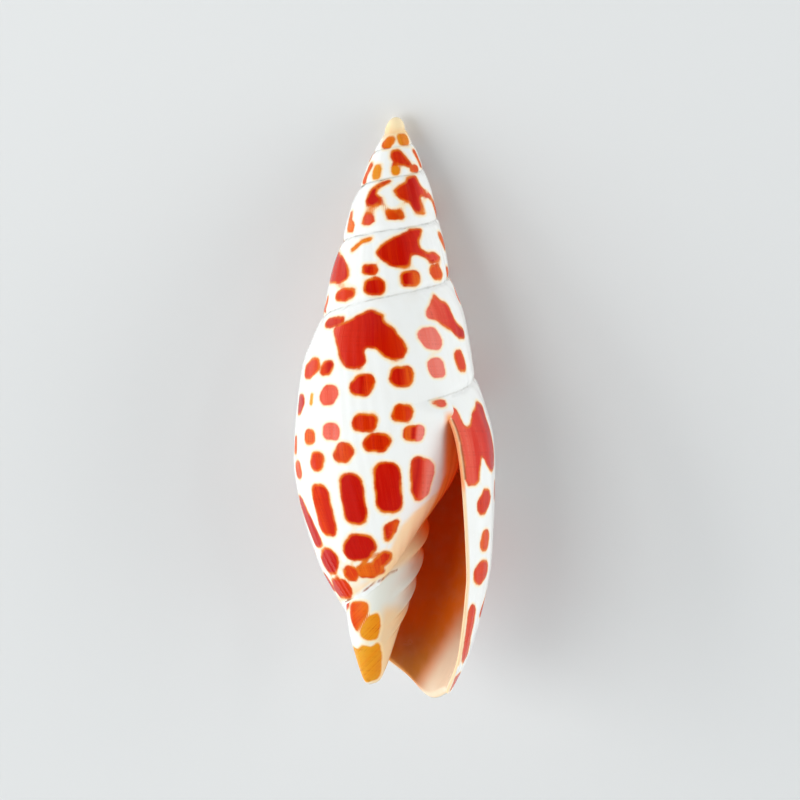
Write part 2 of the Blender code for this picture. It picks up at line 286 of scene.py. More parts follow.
def wall(turn, landmark):
    """Wall thickness, running out to nothing round the lip and the notch."""
    full = LIP_WALL + (FULL_WALL - LIP_WALL) * smooth(0.0, 0.2, turn)
    full = full * (1.0 - 0.22 * np.clip(turn - 0.3, 0.0, None))
    from_lip = (turn - lip_trail(landmark)) * 2 * math.pi * RIM_RADIUS
    margin = np.linalg.norm(whorl_point(turn, np.full_like(turn, 7.0))
                            - whorl_point(turn, landmark), axis=-1)
    margin = margin + 9.0 * inside_share(turn)
    near = np.clip(np.minimum(from_lip, margin) / EDGE_RADIUS, 0.0, 1.0)
    return full * np.sqrt(1.0 - (1.0 - near) ** 2)


def inner_point(turn, landmark):
    slope = section_slope(turn, landmark)
    point = whorl_point(turn, landmark)
    thickness = wall(turn, landmark)
    return np.stack((point[..., 0] + slope[..., 1] * thickness,
                     point[..., 1] - slope[..., 0] * thickness), axis=-1)


def add_outside(shell):
    """Outside of the coil from the lip to the apex; gives the lip's edge and the lower edge."""
    lower_edge = []
    for part, (first, _, step) in enumerate(COIL_PARTS):
        base = part_columns(part)[:, None]
        rows = np.broadcast_to(ROWS[::step], (len(base), len(ROWS[::step])))
        turn = growth_turn(base, rows)
        point = outer_point(turn, rows)
        numbers = shell.add(place(turn, point[..., 0], point[..., 1]), turn=turn, landmark=rows,
                            side=0.0)
        shell.grid(numbers, ((rows < 3.0) | (base < HOLLOW_TURNS))[:-1, :-1])
        if part == 0:
            lip_edge = numbers[0]
        else:
            wanted = (rows[0] <= 3.0) | (first < HOLLOW_TURNS)
            ratio = step // COIL_PARTS[part - 1][2]
            shell.step_down(previous, numbers[0][wanted], np.arange(wanted.sum()) * ratio)
        previous = numbers[-1]
        lower_edge.append(numbers[base[:, 0] <= HOLLOW_TURNS, -1])
    add_apex(shell, numbers[:, :np.searchsorted(rows[0], 3.0) + 1], base[:, 0])
    return lip_edge, np.concatenate(lower_edge)


def add_inside(shell, lip_edge, lower_edge):
    """Inside of the wall, joined to the outside along the lip and the notch."""
    base = np.concatenate([part_columns(part) for part in range(len(COIL_PARTS))])[:len(lower_edge)]
    shut = inside_share(base)[:, None]
    lower = ROWS - 0.75 * shut * (ROWS / 7.0) ** 2
    turn = growth_turn(base[:, None], lower)
    point = inner_point(turn, lower)
    inner = shell.add(place(turn, point[..., 0], point[..., 1]), turn=turn, landmark=lower, side=1.0)
    inner[0] = lip_edge
    free = base <= WEB_TURN
    inner[free, -1] = lower_edge[free]
    close = len(EDGE_COLUMNS) + 4
    shell.grid(inner[:close + 1, ::-1])
    shell.step_down(inner[close], inner[close + 1, INNER_PICKS], INNER_PICKS)
    shell.grid(inner[close + 1:, INNER_PICKS[::-1]])
    add_base(shell, base, lower_edge, inner[:, -1])


def add_base(shell, turn, outer, inner):
    """Under and upper side of the web that closes the base behind the canal."""
    back = turn >= WEB_TURN
    turn, outer, inner = turn[back], outer[back], inner[back]
    share = np.linspace(0.0, 1.0, 9)[1:]
    here = growth_turn(turn, np.full_like(turn, 7.0))[:, None]
    edge = outer_point(here[:, 0], np.full_like(turn, 7.0))[:, None, :]
    under = edge + (np.array((98.0, 0.0)) - edge) * (0.8 * share)[:, None]
    shut = inside_share(turn)[:, None]
    low = whorl_point(here[:, 0], 7.0 - 0.75 * shut[:, 0])[:, None, :]
    floor = low + (np.array((-2.6, 2.8)) - low * (0.0, 1.0)) * share[:, None]
    upper = under + (floor - under) * shut[..., None]
    here = np.broadcast_to(here, under.shape[:2])
    for points, first, side, flip in ((under, outer, 0.0, False), (upper, inner, 1.0, True)):
        numbers = shell.add(place(here, points[..., 0], points[..., 1]), turn=here, landmark=7.0,
                            side=side)
        numbers = np.concatenate((first[:, None], numbers), axis=1)
        shell.grid(numbers[:, ::-1] if flip else numbers)


def add_apex(shell, outer, turn):
    """A blunt dome over the first whorl."""
    rim = np.concatenate((outer[turn >= APEX_TURN - 1 - 1e-6, 0], outer[-1, 1:]))
    start = np.concatenate(shell.points)[rim]
    rings = [rim]
    for share in (0.2, 0.4, 0.6, 0.8):
        angle = share * math.pi / 2
        level = LENGTH - (LENGTH - start[:, 1]) * (1 - math.sin(angle))
        ring = np.stack((start[:, 0] * math.cos(angle), level, start[:, 2] * math.cos(angle)), axis=-1)
        rings.append(shell.add(ring, turn=APEX_TURN, landmark=1.5, side=0.0))
    shell.grid(np.stack(rings))
    tip = shell.add(np.array((0.0, LENGTH, 0.0)), turn=APEX_TURN, landmark=1.5, side=0.0)
    shell.fan(rings[-1], int(tip))


def fold_height(distance, azimuth):
    """Height of the columella folds: they wind down the pillar away from the +x side."""
    height = 0.0
    for start, rise, width in FOLDS:
        ridge = start - FOLD_PITCH * azimuth / 360.0
        height = height + rise * np.exp(-np.abs((distance - ridge) / width) ** 1.5)
    return height * smooth(-68.0, -30.0, azimuth) * (1.0 - smooth(130.0, 170.0, azimuth))


def add_pillar(shell):
    """Columella and fasciole: a tapering pillar with winding folds on the aperture side."""
    levels, around = 150, 112
    share = np.linspace(0.0, 1.0, levels + 1)[:, None]
    azimuth = np.linspace(-100.0, 260.0, around + 1)[None, :]
    # rows of the mesh run along the folds, and come back up behind them
    turn_back = 120.0
    lead = np.minimum(azimuth, turn_back - (azimuth - turn_back) * 220.0 / 140.0)
    slant = np.sin(math.pi * share) ** 0.5
    first, last = PILLAR[0][0], PILLAR[-1][0]
    distance = np.clip(first + share * (last - first) - FOLD_PITCH * lead / 360.0 * slant, first, last)
    keys = [row[0] for row in PILLAR]
    point = catmull(PILLAR, np.interp(distance, keys, np.arange(len(keys))))
    radius = point[..., 2] + fold_height(point[..., 0], azimuth)
    turn = (azimuth - LIP_AZIMUTH) / 360.0
    turn = np.broadcast_to(turn, radius.shape)
    numbers = shell.add(place(turn, point[..., 0], radius, point[..., 1]), turn=turn,
                        landmark=7.0, side=2.0)
    numbers[:, -1] = numbers[:, 0]
    shell.grid(numbers)
    tip = shell.add(place(0.0, PILLAR_TIP[0], 0.0, PILLAR_TIP[1]), turn=0.0, landmark=7.0, side=2.0)
    top = shell.add(place(0.0, first, 0.0), turn=0.0, landmark=7.0, side=2.0)
    shell.fan(numbers[-1], int(tip))
    shell.fan(numbers[0], int(top), flip=True)


def new_object(name, data):
    item = bpy.data.objects.new(name, data)
    bpy.context.scene.collection.objects.link(item)
    return item


def make_object(shell):
    """Mesh object of everything gathered, with the values that its material reads."""
    points = np.concatenate(shell.points)
    values = {}
    for name, blocks in shell.values.items():
        flat = np.zeros(len(points))
        for start, block in blocks:
            flat[start:start + len(block)] = block
        values[name] = flat
    mesh = bpy.data.meshes.new("shell_body")
    mesh.from_pydata((points * MM).tolist(), [], [list(face) for block in shell.faces for face in block])
    paint(mesh, points, values)
    tidy_mesh(mesh)
    return new_object("shell_body", mesh)


def tidy_mesh(mesh):
    """Drops the vertices that no face uses and faces with no area, and turns all faces outwards."""
    bm = bmesh.new()
    bm.from_mesh(mesh)
    bmesh.ops.dissolve_degenerate(bm, dist=1e-7, edges=bm.edges)
    bmesh.ops.delete(bm, geom=[vert for vert in bm.verts if not vert.link_faces], context="VERTS")
    bmesh.ops.recalc_face_normals(bm, faces=bm.faces)
    for face in bm.faces:
        face.smooth = True
    bm.to_mesh(mesh)
    bm.free()


def rest_on_floor(item):
    """Turns the model frame into the way the CAD part lies, inside the CAD part's box."""
    turned = (Matrix.Rotation(math.radians(REST_PITCH), 4, "X")
              @ Matrix.Rotation(math.radians(REST_ROLL), 4, "Y"))
    points = np.array([turned @ vert.co for vert in item.data.vertices])
    low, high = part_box("shell")
    middle = (points.min(axis=0) + points.max(axis=0)) / 2
    shift = Vector(((low.x + high.x) / 2 - middle[0], (low.y + high.y) / 2 - middle[1],
                    low.z - points[:, 2].min()))
    return Matrix.Translation(shift) @ turned


# Markings.  Places are degrees round the shell from the middle of its front, positive towards the
# lip, and mm from the apex.  Tone runs from amber (0) over orange and red to pink (1); the pink end is
# partly the markings' own paler red and partly painted reflection of the lamps.
# Spots: degrees, mm, width in degrees, height in mm, how far the top leans right in degrees, tone,
# and how much the tone rises from left to right.
SPOTS = (
    (-26, 4.9, 34, 2.2, 8, 0.2, 0), (30, 4.3, 42, 2.0, 0, 0.12, 0), (-38, 10.6, 18, 2.5, 0, 0.08, 0),
    (1, 10.2, 14, 1.5, 0, 0.1, 0), (-66, 10.8, 12, 3.8, 8, 0.35, 0), (66, 7.8, 12, 3.0, -8, 0.4, 0),
    (42, 9.8, 20, 1.2, 0, 0.35, 0), (1, 18.6, 24, 1.6, 0, 0.45, 0.2), (-35, 19.7, 15, 1.9, 4, 0.8, 0),
    (-72, 19.1, 12, 1.6, 0, 0.2, 0), (-65, 21.1, 17, 1.9, 0, 0.22, 0), (79, 17.0, 12, 3.0, -6, 0.4, 0),
    (-23, 29.2, 16, 1.8, 0, 0.55, -0.3), (-17, 32.4, 20, 2.9, 0, 0.55, 0),
    (17.5, 30.7, 19, 2.8, 0, 0.45, -0.35), (50, 29.4, 16, 2.8, -3, 0.35, 0),
    (-48, 34.0, 18, 2.4, 6, 0.42, 0), (76, 23.4, 10, 3.2, -8, 0.3, 0), (77, 29.2, 8, 1.6, 0, 0.3, 0),
    (-81.5, 35.8, 7, 3.0, 4, 0.35, 0), (-52, 39.3, 12, 1.9, 10, 0.5, 0),
    (30, 42.0, 16.5, 3.9, -3, 0.95, 0), (58, 46.1, 12, 3.9, -2, 0.42, 0),
    (33.5, 47.5, 12, 3.6, -1, 0.95, 0), (7.8, 49.3, 15.5, 3.7, 0.5, 0.5, -0.25),
    (-64.5, 48.1, 15, 3.8, 5, 0.42, 0), (-47.5, 48.0, 11, 2.6, 1, 0.5, 0.2),
    (-18.5, 51.1, 14.5, 4.0, 2, 0.55, -0.3), (-43, 53.1, 12.5, 3.6, 2, 0.85, 0),
    (-59.5, 54.0, 3, 2.0, 0, 0.0, 0), (-77, 55.1, 13, 3.8, 2, 0.6, 0),
    (8.5, 56.2, 12.5, 3.2, 1, 0.42, 0), (-15.5, 58.1, 15, 3.3, 1, 0.47, 0),
    (-39, 60.0, 12.5, 2.9, 0, 0.88, 0), (-58.5, 61.2, 11, 2.8, 0, 0.3, 0),
    (-82, 62.8, 8, 3.2, 0, 0.3, 0), (16.5, 60.0, 13, 2.9, 0, 0.65, 0.7),
    (-7.5, 61.9, 15.5, 3.3, 2, 0.5, 0), (-30, 64.0, 12, 3.6, 2, 0.4, 0),
    (-52, 65.7, 12, 3.6, 1, 0.42, 0), (-77.5, 67.4, 11, 3.2, 0, 0.35, 0),
    (-53.5, 74.9, 17.5, 9.6, 0, 0.47, 0.1), (-26, 72.7, 17.5, 9.5, -1, 0.6, 0),
    (0.4, 70.4, 19, 9.5, -2.5, 0.62, 0), (-26.5, 81.8, 27, 4.9, 5, 0.6, 0),
    (-67, 84.6, 22, 4.9, 8, 0.62, 0), (-80, 77.2, 14, 9.6, -11, 0.6, 0),
    (-42.5, 86.8, 16, 2.6, 4, 0.4, 0), (-20, 86.1, 25, 2.6, 8, 0.27, 0.12),
    (-4, 84.0, 15, 3.0, 8, 0.42, 0.1), (-72, 89.8, 34, 3.6, 6, 0.5, -0.1),
)
LIP_SPOTS = (
    (63.5, 72.6, 11, 4.8, 4, 0.5, 0), (66.5, 80.0, 10, 3.9, 1, 0.35, 0),
    (64.5, 86.0, 12.5, 4.5, 5, 0.42, 0), (83, 91.9, 9, 5.2, 4, 0.5, 0), (86, 70.3, 8, 3.6, 0, 0.6, 0),
    (74, 107.0, 15, 3.4, 10, 0.45, 0),
)
# Flames and blotches: outline, tone, and how much the tone rises from left to right.
BLOTCHES = (
    (((-10, 6.3), (8, 6.2), (20, 7.0), (28, 8.0), (36, 8.7), (34, 9.6), (20, 9.2), (6, 9.2), (-4, 8.4),
      (-12, 7.3)), 0.48, 0.0),
    (((-8, 12.2), (-25, 12.6), (-38, 13.6), (-42, 14.5), (-43, 17.2), (-24, 17.1), (-13, 16.4),
      (-21, 15.4), (-28, 14.9), (-27, 14.0), (-20, 13.2), (-8, 12.5)), 0.6, 0.0),
    (((-3, 14.2), (8, 13.0), (19, 12.3), (22, 11.4), (42, 11.1), (45, 12.8), (52, 13.8), (64, 14.3),
      (74, 15.2), (52, 15.0), (42, 14.9), (38, 15.9), (39, 16.7), (47, 17.2), (46, 18.4), (28, 18.5),
      (26, 16.4), (13, 16.0), (5, 15.2)), 0.65, 0.5),
    (((-50, 25.4), (-42, 24.3), (-37, 23.5), (-25, 23.0), (-26, 23.7), (-36, 24.1), (-44, 25.2),
      (-48, 25.7)), 0.15, 0.0),
    (((-19, 25.8), (-13, 24.4), (0, 23.0), (17, 22.0), (21, 21.3), (36, 21.2), (35, 22.0), (30, 23.4),
      (30, 24.8), (36, 25.6), (52, 25.7), (60, 26.6), (55, 27.5), (43, 27.4), (35, 26.5), (25, 25.9),
      (18, 26.2), (18, 28.0), (14, 28.6), (5, 28.6), (-4, 28.1), (-13, 26.9)), 0.66, 0.3),
    (((-78, 25.8), (-64, 26.8), (-52, 28.2), (-46, 29.6), (-46, 31.0), (-55, 31.8), (-75, 31.9),
      (-92, 31.5), (-96, 29), (-86, 27)), 0.52, 0.0),
    (((41, 33.6), (36, 35.2), (30, 36.8), (29.5, 37.9), (37, 38.4), (45.5, 39.8), (54, 40.7), (61, 41.9),
      (70, 41.6), (72, 40.1), (61, 39.0), (57, 37.2), (55, 35.2), (46, 34.8), (43, 34.0)), 0.74, -0.35),
    (((-49, 40.5), (-42, 39.6), (-32, 38.6), (-25, 37.5), (-17.5, 36.9), (-12, 37.3), (-6.5, 37.6),
      (-6.5, 38.9), (1, 40.0), (5, 41.5), (9.8, 43.0), (11.5, 44.3), (8, 45.7), (2, 46.2), (-3.5, 45.8),
      (-7.5, 44.9), (-11.5, 44.0), (-17, 43.7), (-20.5, 44.4), (-17, 46.2), (-19, 47.4), (-26, 48.0),
      (-32, 47.6), (-37, 45.8), (-40, 43.7), (-45, 42.0)), 0.62, -0.35),
    (((16, 65.5), (19, 64.4), (31, 65.0), (36, 67.0), (35, 70.2), (36, 71.2), (28, 72.6), (23, 72.5),
      (18.5, 71), (16.5, 68)), 0.78, 0.7),
    (((-2.5, 78.2), (1, 77.2), (11, 76.4), (9.5, 77.9), (6.8, 79.6), (3, 80.6), (-2, 80.5)), 0.42, -0.35),
    (((27, 54.3), (32, 53.6), (38, 53.8), (35, 54.6), (31, 54.8)), 0.85, 0.0),
)
LIP_BLOTCHES = (
    (((36, 55.0), (44, 55.1), (46.5, 56.4), (48, 58.3), (51, 58.7), (54, 58.2), (57, 56.8), (61, 55.4),
      (70, 53.5), (78, 54.5), (77, 57), (79, 60), (81, 64), (79, 66.2), (72, 67.0), (66.5, 66.2),
      (62, 64.0), (59, 64.2), (57.3, 67), (56.5, 69.4), (44, 69.6), (36, 60)), 0.72, -0.35),
    (((59, 92.1), (66, 93), (68, 95.3), (70, 98), (73, 100), (77, 101.8), (74, 103.4), (66, 102.9),
      (63, 101), (61, 99.2), (59, 96.3), (56, 93.8)), 0.43, 0.0),
)
# The back, which no picture shows: rows of spots at one landmark each, as on the front.
# Landmark, spacing and width in degrees, height as a share of the whorl's, tone, first turn, last turn.
BACK_ROWS = (
    (0.85, 44, 27, 0.26, 0.62, 0.13, 4.3), (2.15, 21, 12, 0.14, 0.5, 0.13, 3.4),
    (2.75, 23, 14, 0.12, 0.45, 1.1, 3.4), (3.05, 22, 13, 0.15, 0.55, 0.13, 0.64),
    (3.65, 23, 13, 0.14, 0.42, 0.13, 0.64), (4.15, 24, 13, 0.15, 0.4, 0.13, 0.64),
    (5.1, 27, 17.5, 0.30, 0.58, 0.16, 0.64), (6.2, 31, 20, 0.14, 0.6, 0.2, 0.64),
)
# Fasciole, on the columella: as the spots, in degrees round the columella itself.
FASCIOLE_BLOTCHES = (
    (((-56, 92.3), (-22, 92.0), (-13, 93.6), (-28, 96.4), (-43, 98.0), (-62, 95.0)), 0.3, -0.2),
    (((3, 94.2), (12, 95.6), (11, 99.0), (-16, 99.4), (-36, 98.2), (-14, 95.2)), 0.08, 0.1),
    (((-85, 100.8), (-55, 101.4), (-29, 100.6), (-2, 100.9), (15, 99.9), (26, 102.2), (34, 103.9),
      (44, 106.5), (-20, 107.4), (-70, 107.3), (-80, 104.2)), 0.04, 0.1),
    (((-100, 90.5), (-62, 91.0), (-66, 93.5), (-100, 94.0)), 0.45, 0.0),
)
SPOT_CORNER = 0.38         # corner radius as a share of the smaller side
SPREAD = 0.15              # how far the markings run past their outlines, mm
MARK_REACH = 4.0           # beyond this distance a marking leaves no trace, mm
LIP_ZONE = 0.13            # the markings next to the lip reach this turn
LIP_RIM = 0.75             # unmarked rim of the lip beside the flame, mm
FLAME_SPAN = (57.0, 69.6)  # where the flame runs along the lip, mm from the apex
FASCIOLE_LINE = 87.3       # where the dark line over the fasciole crosses the coil axis


def spot_outline(spot, places):
    """Corners of a rounded spot, drawn in by its corner radius, and that radius."""
    degrees, level, width, height, lean = spot[:5]
    offset = (places[0] - degrees + 180.0) % 360.0 - 180.0
    radius = places[2][np.argmin(np.radians(np.abs(offset)) * places[2] + np.abs(places[1] - level))]
    corner = SPOT_CORNER * min(height, math.radians(width) * radius)
    tall = height / 2 - corner
    wide = width / 2 - math.degrees(corner / radius)
    return [(degrees + side * wide - lean / 2 * up, level + up * tall)
            for side, up in ((-1, -1), (1, -1), (1, 1), (-1, 1))], corner


def rounded(outline):
    """Cuts the corners of an outline twice."""
    for _ in range(2):
        ahead = outline[1:] + outline[:1]
        outline = [(start[0] + (end[0] - start[0]) * share, start[1] + (end[1] - start[1]) * share)
                   for start, end in zip(outline, ahead) for share in (0.2, 0.8)]
    return outline


def depth_inside(degrees, level, radius, outline):
    """Signed distance in mm into an outline of (degrees, mm) points, less than 0 outside."""
    outline = np.array(outline, float)
    turned = (outline[None, :, 0] - degrees[:, None] + 180.0) % 360.0 - 180.0
    across = np.radians(turned) * radius[:, None]
    down = outline[None, :, 1] - level[:, None]
    next_across, next_down = np.roll(across, -1, axis=1), np.roll(down, -1, axis=1)
    run, drop = next_across - across, next_down - down
    share = np.clip(-(across * run + down * drop) / (run * run + drop * drop + 1e-12), 0.0, 1.0)
    gap = np.hypot(across + share * run, down + share * drop).min(axis=1)
    crossing = (down > 0) != (next_down > 0)
    with np.errstate(divide="ignore", invalid="ignore"):
        meets = across - down * run / drop > 0
    inside = (crossing & meets).sum(axis=1) % 2 == 1
    return np.where(inside, gap, -gap)


def lay_mark(field, tone, places, outline, rounding, tone_here, tone_rise):
    """Lays one marking into the field of depths, with its tone where it is the nearest."""
    degrees, level, radius = places
    points = np.array(outline, float)
    middle = points.mean(axis=0)
    reach = np.abs(points[:, 0] - middle[0]).max()
    offset = (degrees - middle[0] + 180.0) % 360.0 - 180.0
    near = ((np.radians(np.abs(offset) - reach) * radius < MARK_REACH)
            & (level > points[:, 1].min() - MARK_REACH) & (level < points[:, 1].max() + MARK_REACH))
    chosen = np.flatnonzero(near)
    if len(chosen) == 0:
        return
    depth = depth_inside(degrees[chosen], level[chosen], radius[chosen], outline) + rounding
    nearest = depth > field[chosen]
    chosen, depth = chosen[nearest], depth[nearest]
    field[chosen] = depth
    rise = np.clip(offset[chosen] / max(reach, 1.0), -1.0, 1.0) * tone_rise / 2
    tone[chosen] = tone_here + rise


def back_outlines():
    """Spots and flames of the unseen back, by a seeded rule."""
    chance = np.random.default_rng(11)
    spots, flames = [], []
    for landmark, spacing, width, share, tone, first, last in BACK_ROWS:
        turn = first + spacing / 720.0
        while turn < last:
            degrees = FRONT_DEGREES + 360.0 * turn
            section = landmarks(np.array(turn))
            height = (section[3, 0] - section[0, 0]) * share * chance.uniform(0.8, 1.2)
            level = along(section, np.array(landmark + chance.uniform(-0.05, 0.05)))[0]
            wide = width * chance.uniform(0.85, 1.15)
            lean = chance.uniform(-3.0, 4.0)
            strength = tone + chance.choice((-0.12, -0.05, 0.0, 0.08, 0.4), p=(0.2, 0.2, 0.3, 0.15, 0.15))
            arm, shift = chance.uniform(0.6, 1.0), chance.uniform(-0.3, 0.3)
            if 92.0 < degrees % 360.0 < 268.0:
                if landmark < 1.0:
                    flame = flame_outline(degrees, level, wide, height, lean, arm, shift)
                    flames.append((flame, strength, 0.1))
                else:
                    spots.append((degrees, level, wide, height, lean, strength, 0.1))
            turn += spacing / 360.0 * chance.uniform(0.88, 1.15)
    return tuple(spots), tuple(flames)


def flame_outline(degrees, level, width, height, lean, arm, shift):
    """A flame with two legs under a peak, like those by the sutures."""
    shape = ((-0.5, -0.1), (-0.15 + shift, -0.55), (0.15 + shift, -0.5), (0.35, -0.2), (0.62, 0.45 * arm),
             (0.5, 0.62 * arm), (0.25, 0.5), (0.02, 0.1), (-0.2, 0.12), (-0.28, 0.55), (-0.48, 0.6),
             (-0.6, 0.25))
    return [(degrees + x * width - y * lean, level + y * height) for x, y in shape]


def lay_zone(field, tone, places, spots, blotches):
    for spot in spots:
        outline, corner = spot_outline(spot, places)
        lay_mark(field, tone, places, outline, corner + SPREAD, *spot[5:7])
    for outline, tone_here, tone_rise in blotches:
        lay_mark(field, tone, places, rounded(outline), SPREAD, tone_here, tone_rise)


def lip_distance(values):
    """How far each vertex of the outside is from the edge of the lip along the whorl, in mm."""
    line = values["turn"] - lip_trail(values["landmark"])
    return np.where(values["side"] == 0.0, line * 2 * math.pi * LIP_RADIUS, 0.0)


def lay_marks(values, degrees, level, radius):
    """Depth into the nearest marking and its tone, for every vertex."""
    field = np.full(len(degrees), -MARK_REACH)
    tone = np.full(len(degrees), 0.5)
    turn, landmark, side = values["turn"], values["landmark"], values["side"]
    lip = (side == 0.0) & (turn < np.where(level > 100.0, 0.25, LIP_ZONE))
    coil = (side == 0.0) & (turn >= LIP_ZONE) & ((landmark <= 3.0) | (turn < 1.0))
    spots, flames = back_outlines()
    zones = ((lip, LIP_SPOTS, LIP_BLOTCHES), (coil, SPOTS + spots, BLOTCHES + flames),
             (side == 2.0, (), FASCIOLE_BLOTCHES))
    for zone, *marks in zones:
        depth, shade = field[zone], tone[zone]
        lay_zone(depth, shade, (degrees[zone], level[zone], radius[zone]), *marks)
        field[zone], tone[zone] = depth, shade
    beside_flame = (level < FLAME_SPAN[1]) * LIP_RIM
    field = np.where(lip, np.minimum(field, lip_distance(values) - beside_flame), field)
    return field, np.clip(tone, 0.0, 1.0)


def linear(red, green, blue):
    """Linear colour from the usual 0 to 255 levels."""
    levels = np.array((red, green, blue)) / 255.0
    return np.where(levels <= 0.04045, levels / 12.92, ((levels + 0.055) / 1.055) ** 2.4)


WHITE = linear(240, 240, 238)
CREAM = linear(252, 228, 184)
PEACH = linear(252, 208, 150)
SALMON_RIM = linear(240, 170, 125)
BEIGE = linear(236, 202, 158)
GLAZE_BEIGE = linear(248, 218, 176)
GREY_WHITE = linear(222, 222, 212)
ORANGE_BROWN = linear(244, 158, 78)
RED_BROWN = linear(250, 106, 20)
DEEP_BROWN = linear(246, 126, 30)
OLIVE_BROWN = linear(206, 128, 52)
FLAME_RIM = linear(246, 150, 96)
CREAM_RIM = linear(248, 214, 170)
INNER_CREAM = linear(250, 226, 196)
STRIP_CREAM = linear(246, 212, 164)
# Edge of the glaze over the inner lip: mm from the apex, degrees from the middle of the front.
CALLUS_EDGE = ((70.0, 50.0), (72.5, 38.0), (75.0, 24.0), (78.0, 12.0), (82.0, 5.0), (86.0, 0.0),
               (90.0, -12.0))


def blend(colour, other, share):
    return colour + (other - colour) * np.asarray(share)[:, None]


def aperture_colour(turn, x, level):
    """Inside of the whorl: red-brown, olive-brown at the canal and pale towards the lip's end."""
    # the saturated red-brown deep inside is partly the shell's own orange and partly painted shade and
    # interreflected light of the hollow
    colour = blend(np.tile(RED_BROWN, (len(turn), 1)), DEEP_BROWN, smooth(68.0, 92.0, level))
    colour = blend(colour, OLIVE_BROWN, smooth(94.0, 104.0, level))
    end = level + 1.65 * x
    colour = blend(colour, SALMON_RIM, smooth(116.0, 119.6, end))
    return blend(colour, INNER_CREAM, smooth(118.0, 123.0, end) * smooth(94.0, 101.0, level))


def pillar_colour(front, x, level):
    """The columella: beige above, grey-white where the foot slid, beige again at the canal."""
    colour = blend(np.tile(BEIGE, (len(x), 1)), GREY_WHITE, smooth(86.0, 88.2, level + RIDGE_SLOPE * x))
    colour = blend(colour, BEIGE, smooth(91.5, 94.5, level) * smooth(0.0, 25.0, front))
    colour = blend(colour, ORANGE_BROWN, smooth(55.0, 85.0, front) * (1 - smooth(78.0, 84.0, level)))
    colour = blend(colour, WHITE, (1 - smooth(-50.0, 10.0, front)) * smooth(86.0, 90.0, level))
    return blend(colour, DEEP_BROWN, smooth(85.0, 115.0, front) * (1 - smooth(150.0, 172.0, front)))


def ground_colour(values, x, degrees, level):
    """Colour of the shell under its markings."""
    turn, landmark, side = values["turn"], values["landmark"], values["side"]
    colour = np.tile(WHITE, (len(turn), 1))
    colour = blend(colour, PEACH, 1 - smooth(2.5, 5.5, level))
    colour = blend(colour, CREAM, 1 - smooth(1.6, 3.0, level))
    # the whorl before, seen in the aperture, and the glaze over the inner lip
    front = (degrees + 180.0) % 360.0 - 180.0
    edge = np.interp(level, *zip(*CALLUS_EDGE))
    glaze = smooth(-3.0, 4.0, front - edge) * smooth(69.0, 71.0, level) * (turn > 0.75) * (landmark > 3.0)
    colour = blend(colour, GLAZE_BEIGE, glaze)
    brown = blend(np.tile(ORANGE_BROWN, (len(turn), 1)), RED_BROWN, smooth(1.02, 1.07, turn))
    before = np.maximum(smooth(0.99, 1.01, turn), smooth(10.0, 11.4, x) * (turn > 0.9) * (level < 80.0))
    colour = blend(colour, brown, before * smooth(55.0, 57.0, level) * (landmark > 3.0))
    ridge = level + RIDGE_SLOPE * x
    strip = smooth(85.2, 86.0, ridge) * (1 - smooth(87.0, 87.4, ridge)) * (level > 80.0) * (turn > 0.55)
    colour = blend(colour, STRIP_CREAM, strip * 0.8 * (landmark > 3.0))
    colour = np.where((side == 1.0)[:, None], aperture_colour(turn, x, level), colour)
    # the rim of the lip
    thickness = wall(turn, landmark) / LIP_WALL
    rim = (side == 1.0) * (1 - smooth(0.92, 1.0, thickness)) * (turn < 0.36)
    near = (side == 0.0) * (turn < 0.1) * (level < 104.0)
    rim = np.maximum(rim, near * (1 - smooth(0.35, 0.75, lip_distance(values))))
    edge = blend(np.tile(FLAME_RIM, (len(turn), 1)), WHITE, 1 - smooth(54.0, 56.0, level))
    edge = blend(edge, CREAM_RIM, smooth(69.0, 72.0, level))
    colour = blend(colour, edge, rim)
    return np.where((side == 2.0)[:, None], pillar_colour(front, x, level), colour)


def seam_distance(values, level):
    """How far each vertex is from the nearest suture, in mm."""
    turn = values["turn"]
    section = landmarks(turn)
    above = level - section[:, 0, 0]
    below = np.where(turn > 0.935, section[:, 3, 0] - level, FAR)
    seam = np.minimum(np.abs(above), np.abs(below))
    coil = (values["side"] == 0.0) & (values["landmark"] <= 3.4) & (turn < 4.3)
    return np.where(coil, seam, FAR)


def fasciole_line_and_lip_shadow_distance(values, x, level):
    """How far each vertex is from the dark line over the fasciole and the painted shadow beside the lip's
    rim, in mm.
    """
    low = (values["side"] != 1.0) & (level > 80.0) & (np.abs(x + 2.6) < 5.0) & (values["landmark"] > 3.0)
    line = level + RIDGE_SLOPE * x + 0.15 * np.sin(2.1 * x)
    fasciole = np.where(low, np.abs(line - FASCIOLE_LINE), FAR)
    # the line beside the lip's rim is painted shadow under the lip's edge
    beside = (values["side"] == 0.0) & (values["turn"] < 0.1)
    beside = beside & (level > FLAME_SPAN[0]) & (level < FLAME_SPAN[1])
    return np.where(beside, np.abs(lip_distance(values) - LIP_RIM), fasciole)


def paint(mesh, points, values):
    """Gives every vertex its ground colour, its depth into a marking and the growth coordinates."""
    level = LENGTH - points[:, 1]
    pillar = values["side"] == 2.0
    radius = np.hypot(points[:, 0] + 1.5 * pillar, points[:, 2] / DEPTH)
    degrees = FRONT_DEGREES + 360.0 * values["turn"]
    mark, tone = lay_marks(values, degrees, level, radius)
    line = values["turn"] - lip_trail(values["landmark"])
    slant = points[:, 0] + 0.95 * level
    numbers = {"mark": mark, "tone": tone, "seam": seam_distance(values, level),
               "fasciole_line_and_lip_shadow": fasciole_line_and_lip_shadow_distance(values, points[:, 0], level),
               "lip_line": np.where(pillar, slant / 110.0, line), "level": level}
    for name, value in numbers.items():
        attribute = mesh.attributes.new(name, "FLOAT", "POINT")
        attribute.data.foreach_set("value", value.astype(np.float32))
    colour = ground_colour(values, points[:, 0], degrees, level)
    colour = np.concatenate((colour, np.ones((len(colour), 1))), axis=1)
    ground = mesh.color_attributes.new("ground", "FLOAT_COLOR", "POINT")
    ground.data.foreach_set("color", colour.astype(np.float32).reshape(-1))


